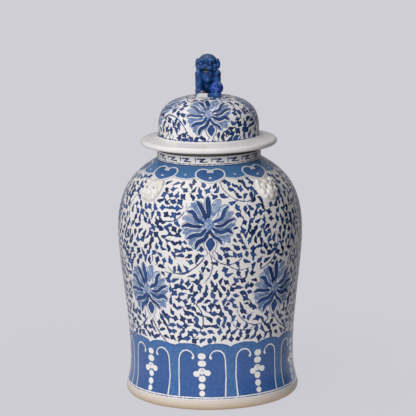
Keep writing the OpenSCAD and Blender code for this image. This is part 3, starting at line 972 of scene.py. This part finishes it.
def curls_on(centre, radii, rows):
    """Places and directions of curls on an egg. A row is an elevation, the first and last azimuth, all in
    degrees, and a count."""
    found = []
    for elevation, first, last, count in rows:
        for azimuth in np.radians(np.linspace(first, last, count)):
            up = math.radians(elevation)
            out = Vector((math.cos(up) * math.sin(azimuth), -math.cos(up) * math.cos(azimuth), math.sin(up)))
            place = [c + r * o for c, r, o in zip(centre, radii, out)]
            found.append((place, out))
    return found


def rough_out(name, lumps, curls=(), curl_r=2.4):
    """All lumps and curls as one loose mesh."""
    deselect_all()
    bpy.ops.mesh.primitive_cube_add(size=MM, location=(0, 0, 0))
    piece = bpy.context.object
    piece.name = name
    bpy.ops.object.mode_set(mode="EDIT")
    bpy.ops.mesh.delete(type="VERT")
    for place, radii in lumps:
        bpy.ops.mesh.primitive_uv_sphere_add(segments=24, ring_count=14, radius=MM, scale=radii,
                                             location=[v * MM for v in place])
    for place, out in curls:
        where = [v * MM for v in place]
        facing = out.to_track_quat("Z", "Y").to_euler()
        bpy.ops.mesh.primitive_torus_add(major_segments=16, minor_segments=8, major_radius=curl_r * MM,
                                         minor_radius=curl_r * 0.52 * MM, location=where, rotation=facing)
        bpy.ops.mesh.primitive_uv_sphere_add(segments=12, ring_count=8, radius=curl_r * 0.62 * MM,
                                             location=where)
    bpy.ops.object.mode_set(mode="OBJECT")
    return piece


def apply_all(piece):
    """Applies every modifier of the active piece, in order."""
    for modifier in list(piece.modifiers):
        bpy.ops.object.modifier_apply(modifier=modifier.name)


def press(piece, voxel):
    """Adds a remesh that joins what overlaps, with voxels of the size given, in mm."""
    pressed = piece.modifiers.new("press", "REMESH")
    pressed.mode = "VOXEL"
    pressed.voxel_size = voxel * MM
    pressed.use_smooth_shade = True


def clay(name, lumps, cuts=(), curls=(), voxel=0.6, passes=3, curl_r=2.4):
    """A closed, smoothed piece from lumps and curls, with the cuts taken out."""
    cutter = None
    if cuts:
        cutter = rough_out(name + "_cuts", cuts)
        press(cutter, voxel)
        apply_all(cutter)
    piece = rough_out(name, lumps, curls, curl_r)
    press(piece, voxel)
    if cutter:
        cut = piece.modifiers.new("cut", "BOOLEAN")
        cut.operation = "DIFFERENCE"
        cut.object = cutter
        press(piece, voxel)
    wet = piece.modifiers.new("wet finger", "SMOOTH")
    wet.iterations = passes
    wet.factor = 0.5
    apply_all(piece)
    if cutter:
        deselect_all()
        cutter.select_set(True)
        bpy.ops.object.delete()
    piece.data.name = name
    print(name, len(piece.data.vertices), "vertices")
    return piece


def settle(piece, move):
    """Moves the mesh by a matrix and leaves the object's own frame at the origin."""
    piece.matrix_world = move
    deselect_all()
    bpy.context.view_layer.objects.active = piece
    piece.select_set(True)
    bpy.ops.object.transform_apply(location=True, rotation=True, scale=False)


def lifted(lumps):
    """Lumps whose heights are measured from the top of the plinth."""
    return [((x, y, z + GROUND), radii) for (x, y, z), radii in lumps]


# %% The lion on the lid
HEAD_TURN = -10
lion_parts = {}
lion_parts["lion_body"] = clay("lion_body_modelled", lifted(
    [((0, 3, 18), (18, 15.5, 20)), ((0, -8, 26), (13, 11, 13)), ((0, 10, 12), (15.5, 11, 13)),
     ((0, -14, 30), (8.5, 6.5, 6))]
    + both(12.5, 5, 9.5, 9.5, 13, 11) + both(13, -4, 29, 9, 10, 9) + both(15, -6, 3.6, 6, 11, 4.4)),
    curls=curls_on((0, 2, GROUND + 20), (16, 15.5, 18), [(18, 140, 220, 3), (-12, 140, 220, 3)]))
face = lifted(
    [((0, -1, 48), (16.8, 15.5, 16.8)), ((0, -20.4, 46.2), (5.2, 4.4, 3.8)),
     ((0, -15.5, 36.0), (8.6, 6.8, 3.6)),
     ((0, -17, 57), (4.8, 3.2, 4.2)), ((0, -16.5, 32.0), (6.2, 4.6, 3.6)), ((0, -10, 52), (14, 8, 8))]
    + both(5.8, -17.8, 43, 7.0, 6.0, 4.6) + both(7.6, -14.8, 55, 6.4, 5.0, 3.4)
    + both(7.2, -15.0, 49.6, 3.7, 3.9, 3.6)
    + both(12.8, -9.5, 41.5, 6.6, 7.0, 7.6) + both(2.8, -22.4, 45.4, 2.3, 2.4, 2.0)
    + both(6.5, -14.5, 33.5, 4.2, 4.2, 4.0))
face_cuts = lifted([((0, -22, 39.4), (9.6, 9.5, 1.7))] + both(7.3, -19.2, 49.8, 1.3, 2.6, 1.3)
                   + both(2.7, -25.0, 44.6, 0.9, 1.8, 0.9) + both(12.0, -15.5, 47.2, 2.6, 3.6, 1.9))
crown_curls = curls_on((0, -1, GROUND + 48), (16.4, 15.0, 16.0), [
    (84, 0, 0, 1), (60, -150, 150, 7), (34, -100, -62, 2), (34, 62, 100, 2), (42, -32, 32, 3)])
lion_parts["lion_head"] = clay("lion_head_modelled", face, face_cuts, crown_curls,
                               voxel=0.5, passes=3, curl_r=2.5)
for side, node in ((-1, "lion_left_ear"), (1, "lion_right_ear")):
    ear = lifted([((side * 18.6, -1.5, 47.0), (3.6, 6.0, 8.2)), ((side * 17.4, -2.5, 53), (3.2, 4.6, 4.6))])
    dent = lifted([((side * 22.4, -3.0, 47.0), (2.1, 3.0, 5.0))])
    lion_parts[node] = clay(node + "_modelled", ear, dent, voxel=0.5)
mane_curls = curls_on((0, 3, GROUND + 45), (18.0, 14.6, 15.5), [
    (-44, 80, 280, 8), (-16, 86, 274, 9), (12, 92, 268, 8), (40, 110, 250, 5)])
lion_parts["lion_mane"] = clay("lion_mane_modelled",
                               lifted([((0, 4, 45), (17.2, 14.2, 15.2)), ((0, 4, 36), (17.5, 13, 6))]),
                               curls=mane_curls, voxel=0.55, curl_r=2.8)
for side, node, foot in ((-1, "lion_left_foreleg", 0), (1, "lion_right_foreleg", 12)):
    x = side * 15.4
    leg = [((x, -10, 31), (7.4, 9.5, 8)), ((x, -12.5, 22), (7.0, 7.4, 12)),
           ((x, -13.5, 11 + foot / 2), (6.8, 7.2, 11 - foot / 3)), ((x, -17, 4 + foot), (7.4, 8, 4.4))]
    toes = [((x + step * 4.2, -22.8 + abs(step) * 1.0, 3.0 + foot), (2.5, 3.2, 2.8)) for step in (-1, 0, 1)]
    tuft = [((x + side * 3.2, -6.5, 14 + k * 6), (3.8, 5, 4.2)) for k in range(4)]
    lion_parts[node] = clay(node + "_modelled", lifted(leg + toes + tuft), voxel=0.5)
lion_parts["lion_tail"] = clay("lion_tail_modelled", lifted(
    [((0, 18.5, 9), (5.5, 4.5, 9.5)), ((0, 19.5, 22), (4.2, 4, 9))] + both(4.2, 19.5, 15, 3.4, 3.2, 6.5)
    + both(3.2, 19.5, 24, 2.6, 2.6, 5.5)), curls=[((0, 23, GROUND + 8), Vector((0, 1, 0)))])
lion_parts["lion_collar_bell"] = clay("lion_bell_modelled", lifted(
    [((0, -20.0, 23.5), (4.8, 4.8, 5.0)), ((0, -19.6, 28.8), (2.2, 2.2, 2.0))]),
    cuts=lifted([((0, -24.8, 21.6), (4.4, 2.2, 0.8)), ((0, -24.8, 21.4), (1.2, 2.4, 1.2))]), voxel=0.4)
ball_at = (14.5, -16.5, GROUND + 7.4)
bands = [(ball_at, Vector(out)) for out in ((1, 0, 0), (0.3, 0, 1), (0, 1, 0.2))]
lion_parts["lion_ball"] = clay("lion_ball_modelled", [(ball_at, (8.4, 8.4, 8.4))],
                               curls=bands, voxel=0.5, curl_r=8.0)
look_aside = Matrix.Rotation(math.radians(HEAD_TURN), 4, "Z")
for node in ("lion_head", "lion_left_ear", "lion_right_ear"):
    settle(lion_parts[node], look_aside)

# %% The plinth of the lion
plinth_low, plinth_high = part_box("finial_plinth")
size = plinth_high - plinth_low
deselect_all()
bpy.ops.mesh.primitive_cube_add(size=1, location=(0, 0, 0))
plinth = bpy.context.object
plinth.name = "finial_plinth_modelled"
bpy.ops.object.mode_set(mode="EDIT")
bpy.ops.transform.resize(value=size)
bpy.ops.transform.translate(value=(plinth_low + plinth_high) / 2)
bpy.ops.mesh.select_all(action="DESELECT")
bpy.ops.object.mode_set(mode="OBJECT")
for face_of_plinth in plinth.data.polygons:
    face_of_plinth.select = face_of_plinth.normal.z > 0.5
bpy.ops.object.mode_set(mode="EDIT")
bpy.ops.mesh.inset(thickness=2.2 * MM)
bpy.ops.transform.translate(value=(0, 0, -1.2 * MM))
bpy.ops.object.mode_set(mode="OBJECT")
bevel = plinth.modifiers.new("worn edges", "BEVEL")
bevel.width = 1.1 * MM
bevel.segments = 3
press(plinth, 0.6)
wet = plinth.modifiers.new("wet finger", "SMOOTH")
wet.iterations = 3
apply_all(plinth)
lion_parts["finial_plinth"] = plinth
print("plinth", [round(v / MM, 1) for v in size], "mm")

# %% The four lion masks
# A mask is modelled flat, with x down the shoulder, y round the jar and z standing out, and is then tipped
# on to the shoulder. Four copies are turned round the axis to their places, and the first one is deleted.
mask_rise = rise_at(body_sheet, MASK_Z)
mask_r = radius_on(body_sheet, mask_rise)
step_r = radius_on(body_sheet, mask_rise + 4) - radius_on(body_sheet, mask_rise - 4)
step_z = float(np.interp(mask_rise + 4, body_sheet["s"], body_sheet["z"])
               - np.interp(mask_rise - 4, body_sheet["s"], body_sheet["z"]))
MASK_LEAN = math.degrees(math.atan2(-step_r, step_z))
mask_lumps = [((1, 0, -1.5), (22, 20.5, 8.2)), ((9.5, 0, 4.0), (7.6, 8.8, 6.2)),
              ((3, 0, 6.4), (7.5, 3.6, 3.6)), ((5.8, 0, 9.4), (2.6, 3.8, 2.4)),
              ((16.5, 0, 2.2), (4.2, 6.5, 4.2)), ((-9, 0, 4.2), (6, 5.5, 3.0))]
for side in (-1, 1):
    mask_lumps += [((-5.5, side * 7.6, 4.8), (3.2, 5.4, 2.8)), ((-0.8, side * 7.6, 5.0), (2.6, 3.0, 2.6)),
                   ((9.5, side * 4.6, 6.0), (4.6, 4.6, 3.8)), ((6, side * 14, 1.5), (7.5, 5.5, 5.0)),
                   ((-13.5, side * 15, 1.6), (5.6, 5.0, 4.2)), ((-3, side * 17.5, 0.2), (8, 3.8, 4.0)),
                   ((15, side * 10.5, 0.8), (5, 5, 4.2))]
mask_cuts = [((13.6, 0, 7.5), (0.9, 6.4, 3.4))]
for side in (-1, 1):
    mask_cuts += [((-14, side * 15.2, 6.2), (2.6, 2.2, 1.8)), ((5.6, side * 1.9, 11.2), (0.8, 0.8, 1.0))]
first_mask = clay("lion_mask_modelled", mask_lumps, mask_cuts, voxel=0.7, passes=4)
eye_depth = np.full(len(first_mask.data.vertices), -9.0)
points = np.empty(len(first_mask.data.vertices) * 3)
first_mask.data.vertices.foreach_get("co", points)
points = points.reshape(-1, 3) / MM
for side in (-1, 1):
    eye_depth = np.maximum(eye_depth, 1.7 - np.hypot(points[:, 0] + 0.6, points[:, 1] - side * 7.6))
eye_layer = first_mask.data.attributes.new("eye", "FLOAT", "POINT")
eye_layer.data.foreach_set("value", eye_depth.astype(np.float32))
where = float(np.interp(mask_rise, body_sheet["s"], body_sheet["z"]))
tip = Matrix.Rotation(math.radians(90 - MASK_LEAN), 4, "Y")
settle(first_mask, Matrix.Translation((mask_r * MM, 0, where * MM)) @ tip)
masks = {}
for node, degrees in (("lion_mask_front_left", -135), ("lion_mask_front_right", -45),
                      ("lion_mask_back_right", 45), ("lion_mask_back_left", 135)):
    deselect_all()
    first_mask.select_set(True)
    bpy.context.view_layer.objects.active = first_mask
    bpy.ops.object.duplicate()
    mask = bpy.context.object
    mask.name = node + "_modelled"
    settle(mask, Matrix.Rotation(math.radians(degrees), 4, "Z"))
    masks[node] = mask
deselect_all()
first_mask.select_set(True)
bpy.ops.object.delete()
for node, mask in masks.items():
    low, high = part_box(node)
    found = [Vector(c) for c in mask.bound_box]
    print(node, "box", [round(v / MM) for v in (*low, *high)], "modelled",
          [round(f([c[i] for c in found]) / MM) for f in (min, max) for i in range(3)])

# %% [markdown]
# ## Glaze over modelled clay
# Glaze runs off the high places and gathers in the hollows. Over cobalt that makes the ridges paler and the
# cuts nearly black. The masks have only clear glaze, a little creamier where it is thick, and two dots of
# cobalt for the eyes.

# %% Cobalt glaze, clear glaze and bare clay
DEEP_STOPS = [(0.0, "#060e20"), (0.3, "#102a58"), (0.55, "#1f5192"), (0.78, "#4580b6"), (1.0, "#a6c8da")]
BRIGHT_STOPS = [(0.1, "#101f6e"), (0.5, "#2447bb"), (0.9, "#7fa0e0")]
CREAMY_STOPS = [(0.1, "#c9b99f"), (0.4, "#e4dfd8"), (0.7, "#efeeec")]
TOAST_STOPS = [(0.3, "#b79c7b"), (0.55, "#cdb89c"), (0.75, "#dacbb6")]

cobalt_glaze, cobalt_out = new_material("thick cobalt glaze over modelled clay")
place = add_node(cobalt_glaze, "TexCoord").outputs["Object"]
ridge = add_node(cobalt_glaze, "NewGeometry").outputs["Pointiness"]
cloud = add_node(cobalt_glaze, "TexNoise", blobs(place, 9, 3))
fleck = add_node(cobalt_glaze, "TexNoise", blobs(place, 2.2, 2))
relief = add_node(cobalt_glaze, "Math", {0: ridge, 1: 5.0, 2: -2.5}, operation="MULTIPLY_ADD")
clouded = off_middle(cobalt_glaze, cloud, 1.1)
mottled = add_node(cobalt_glaze, "Math", {0: clouded, 1: relief}, operation="ADD")
flecked = add_node(cobalt_glaze, "Math", {0: off_middle(cobalt_glaze, fleck, 0.5), 1: 0.42}, operation="ADD")
level = add_node(cobalt_glaze, "Math", {0: flecked, 1: mottled}, operation="ADD")
deep = add_node(cobalt_glaze, "ValToRGB", {"Fac": level}, stops=DEEP_STOPS)
bright = add_node(cobalt_glaze, "ValToRGB", {"Fac": level}, stops=BRIGHT_STOPS)
ball_centre = [v * MM for v in ball_at]
from_ball = add_node(cobalt_glaze, "VectorMath", {0: place, 1: ball_centre}, operation="DISTANCE")
near_ball = add_node(cobalt_glaze, "MapRange", span(from_ball, 9 * MM, 15 * MM, 0.75, 0.0),
                     interpolation_type="SMOOTHSTEP")
glazed = add_node(cobalt_glaze, "Mix", layers(near_ball, deep, bright), data_type="RGBA")


def patch(centre, reach_mm, strength):
    """A soft, ragged spot in the cobalt glaze, round a place given in mm."""
    middle = [v * MM for v in centre]
    away = add_node(cobalt_glaze, "VectorMath", {0: place, 1: middle}, operation="DISTANCE")
    jagged = off_middle(cobalt_glaze, cloud, -12 * MM)
    ragged = add_node(cobalt_glaze, "Math", {0: jagged, 1: away}, operation="ADD")
    return add_node(cobalt_glaze, "MapRange", span(ragged, reach_mm * 0.7 * MM, reach_mm * MM, strength, 0.0))


browned = patch((-3, -19, GROUND + 39), 6, 0.55)
glazed = add_node(cobalt_glaze, "Mix", layers(browned, glazed, "#7d6f3f"), data_type="RGBA")
missed = patch((-10, -26, GROUND - 7), 11, 0.95)
glazed = add_node(cobalt_glaze, "Mix", layers(missed, glazed, "#e2e0de"), data_type="RGBA")
pitted = add_node(cobalt_glaze, "Bump", {"Height": fleck, "Strength": 0.25, "Distance": 0.6 * MM})
shader = add_node(cobalt_glaze, "BsdfPrincipled", {"Base Color": glazed, "Roughness": 0.2, "Coat Weight": 0.4,
                                                   "Coat Roughness": 0.08, "Normal": pitted})
cobalt_glaze.node_tree.links.new(shader.outputs[0], cobalt_out.inputs["Surface"])

white_glaze, white_out = new_material("clear glaze over white clay")
place = add_node(white_glaze, "TexCoord").outputs["Object"]
ridge = add_node(white_glaze, "NewGeometry").outputs["Pointiness"]
relief = add_node(white_glaze, "Math", {0: ridge, 1: 4.0, 2: -1.5}, operation="MULTIPLY_ADD")
cloudy = off_middle(white_glaze, add_node(white_glaze, "TexNoise", blobs(place, 12, 3)), 1.0)
pool = add_node(white_glaze, "Math", {0: relief, 1: cloudy}, operation="ADD")
creamy = add_node(white_glaze, "ValToRGB", {"Fac": pool}, stops=CREAMY_STOPS)
eye = add_node(white_glaze, "Attribute", attribute_name="eye").outputs["Fac"]
dotted_edge = add_node(white_glaze, "MapRange", edge(eye, 0.9), interpolation_type="SMOOTHSTEP")
dotted = add_node(white_glaze, "Mix", layers(dotted_edge, creamy, "#5b6c93"), data_type="RGBA")
shader = add_node(white_glaze, "BsdfPrincipled", {"Base Color": dotted, "Roughness": GLAZE_ROUGHNESS})
white_glaze.node_tree.links.new(shader.outputs[0], white_out.inputs["Surface"])

bare_clay, bare_out = new_material("unglazed fired clay")
place = add_node(bare_clay, "TexCoord").outputs["Object"]
stain = add_node(bare_clay, "TexNoise", blobs(place, 14, 4))
toast = add_node(bare_clay, "ValToRGB", {"Fac": stain}, stops=TOAST_STOPS)
sand = add_node(bare_clay, "TexNoise", blobs(place, 0.8, 2))
grit = add_node(bare_clay, "Bump", {"Height": sand, "Strength": 0.3, "Distance": 0.2 * MM})
shader = add_node(bare_clay, "BsdfPrincipled", {"Base Color": toast, "Roughness": 0.72, "Normal": grit})
bare_clay.node_tree.links.new(shader.outputs[0], bare_out.inputs["Surface"])
print("cobalt glaze, white glaze and bare clay ready")

# %% Finish: materials, bodies and hidden CAD parts
NODES["lid_locating_ring"].data.materials.clear()
NODES["lid_locating_ring"].data.materials.append(bare_clay)
pieces = [(lower, "lower_section", "jar", "painted_porcelain", porcelain),
          (upper, "upper_section", "jar", "painted_porcelain", porcelain),
          (neck, "neck_collar", "jar", "painted_porcelain", porcelain),
          (lid, "lid_dome", "lid", "painted_porcelain", porcelain)]
pieces += [(mask, node, "jar", "white_glaze", white_glaze) for node, mask in masks.items()]
pieces += [(part, node, "lid", "cobalt_glaze", cobalt_glaze) for node, part in lion_parts.items()]
for piece, node, body, slot, material in pieces:
    piece.data.materials.clear()
    piece.data.materials.append(material)
    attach(piece, body)
    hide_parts(node)
print(len(pieces), "modelled pieces and 1 carried-over part")
